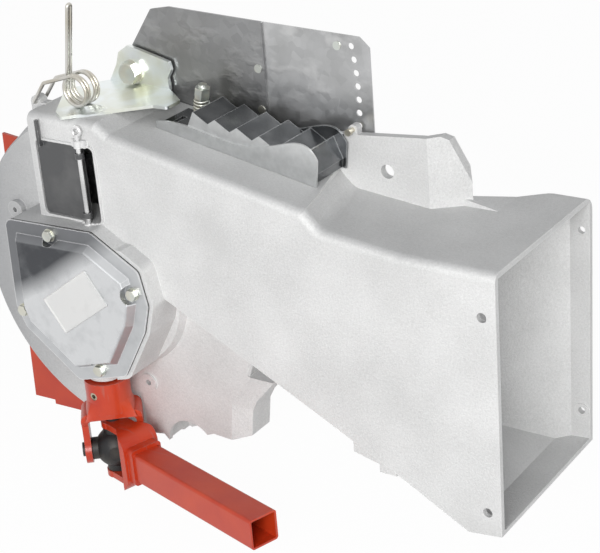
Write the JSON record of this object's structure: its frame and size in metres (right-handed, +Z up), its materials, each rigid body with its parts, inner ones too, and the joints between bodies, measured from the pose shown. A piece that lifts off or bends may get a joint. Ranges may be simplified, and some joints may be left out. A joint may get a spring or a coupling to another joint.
{
  "type": "planter seed meter",
  "caption": "Cast seed meter of a row planter with a hopper mouth, a seed disc behind a suction cover, a bevel gearbox and a folding joint with a square drive tube.",
  "frame": {"origin": "middle of the frame bore's axis at the lug's front face", "axes": "X out of the hopper mouth, Y away from the gearbox side, Z up"},
  "size_m": [0.605, 0.2603, 0.474],
  "materials": {
    "cast_body": "sand-cast, matt",
    "cast_cover": "sand-cast, matt",
    "wear_ring": "smooth",
    "zinc": "yellow zinc plating",
    "red_paint": "gloss paint",
    "tube_paint": "gloss paint",
    "steel": "turned",
    "disc_steel": "rolled sheet",
    "agitator_plastic": "moulded",
    "bearing": "ground",
    "gear_steel": "cut",
    "seal_rubber": "matt",
    "bronze": "turned",
    "gasket": "matt",
    "bright_sheet": "bright pressed sheet",
    "pin_steel": "spring steel",
    "black_steel": "forged and blacked",
    "zinc_sheet": "yellow zinc sheet",
    "gate_sheet": "galvanized sheet",
    "black_plate": "black",
    "bright_rod": "drawn rod",
    "spring_wire": "zinc plated wire",
    "louvre_sheet": "bright zinc sheet"
  },
  "bodies": {
    "housing": {"meter_body": "cast_body", "suction_cover": "cast_cover", "suction_ring": "wear_ring", "cover_studs": "zinc", "cover_nuts": "zinc", "side_plate": "red_paint", "front_bearing": "bearing", "rear_bearing": "bearing", "shaft_seal": "seal_rubber", "drive_bush": "bronze", "gearbox_gasket": "gasket", "gearbox_cover": "bright_sheet", "gearbox_bolts": "zinc", "gearbox_washers": "zinc", "bracket": "zinc_sheet", "bracket_screws": "zinc", "pivot_bolt": "zinc", "pivot_washers": "zinc", "pivot_nut": "zinc", "door_pin": "bright_rod", "block_bolt": "zinc", "block_washer": "zinc", "block_spring": "zinc", "block_nut": "zinc"},
    "drive": {"drive_shaft": "steel", "drive_pinion": "gear_steel", "shaft_yoke": "red_paint", "yoke_pin": "pin_steel"},
    "cross": {"joint_spider": "black_steel"},
    "tube": {"tube_yoke": "red_paint", "drive_tube": "tube_paint"},
    "disc": {"seed_disc": "disc_steel", "disc_hub": "steel", "disc_nut": "zinc", "agitator": "agitator_plastic", "disc_shaft": "steel", "disc_gear": "gear_steel"},
    "gate": {"gate_plate": "gate_sheet", "index_sheet": "gate_sheet", "gate_rivets": "zinc"},
    "pin": {"index_pin": "pin_steel"},
    "door": {"inspection_door": "black_plate"},
    "clip": {"latch_clip": "spring_wire"},
    "block": {"louvre_block": "louvre_sheet"}
  },
  "joints": [
    {"name": "drive_spin", "type": "hinge", "parent": "housing", "child": "drive", "pos_m": [-0.274, -0.096, -0.183], "axis": [0, 0, 1], "range_deg": [-112.5, 0]},
    {"name": "disc_spin", "type": "hinge", "parent": "housing", "child": "disc", "pos_m": [-0.274, -0.096, -0.13], "axis": [0, 1, 0], "range_deg": [-50, 0]},
    {"name": "yoke_fold", "type": "hinge", "parent": "drive", "child": "cross", "pos_m": [-0.274, -0.096, -0.298], "axis": [-0.766, -0.6428, 0], "range_deg": [-92.77, 0]},
    {"name": "tube_swing", "type": "hinge", "parent": "cross", "child": "tube", "pos_m": [-0.274, -0.096, -0.298], "axis": [-0.0311, 0.037, 0.9988], "range_deg": [-68, 1]},
    {"name": "gate_tilt", "type": "hinge", "parent": "housing", "child": "gate", "pos_m": [-0.278, 0.009, 0.058], "axis": [0, 1, 0], "range_deg": [0, 16.8]},
    {"name": "pin_slide", "type": "slide", "parent": "housing", "child": "pin", "axis": [0, 1, 0], "range_m": [0, 0.005]},
    {"name": "door_swing", "type": "hinge", "parent": "housing", "child": "door", "pos_m": [-0.265, -0.0995, -0.018], "axis": [0, 0, 1], "range_deg": [0, 110]},
    {"name": "clip_swing", "type": "hinge", "parent": "housing", "child": "clip", "pos_m": [-0.338, -0.066, 0.044], "axis": [0, -1, 0], "range_deg": [0, 110]},
    {"name": "block_swing", "type": "hinge", "parent": "housing", "child": "block", "pos_m": [-0.191, -0.012, 0.02508], "axis": [0.1812, 0, 0.9835], "range_deg": [-30, 0]}
  ],
  "couplings": [
    {"joint": "disc_spin", "follows": "drive_spin", "ratio": 0.44444}
  ]
}
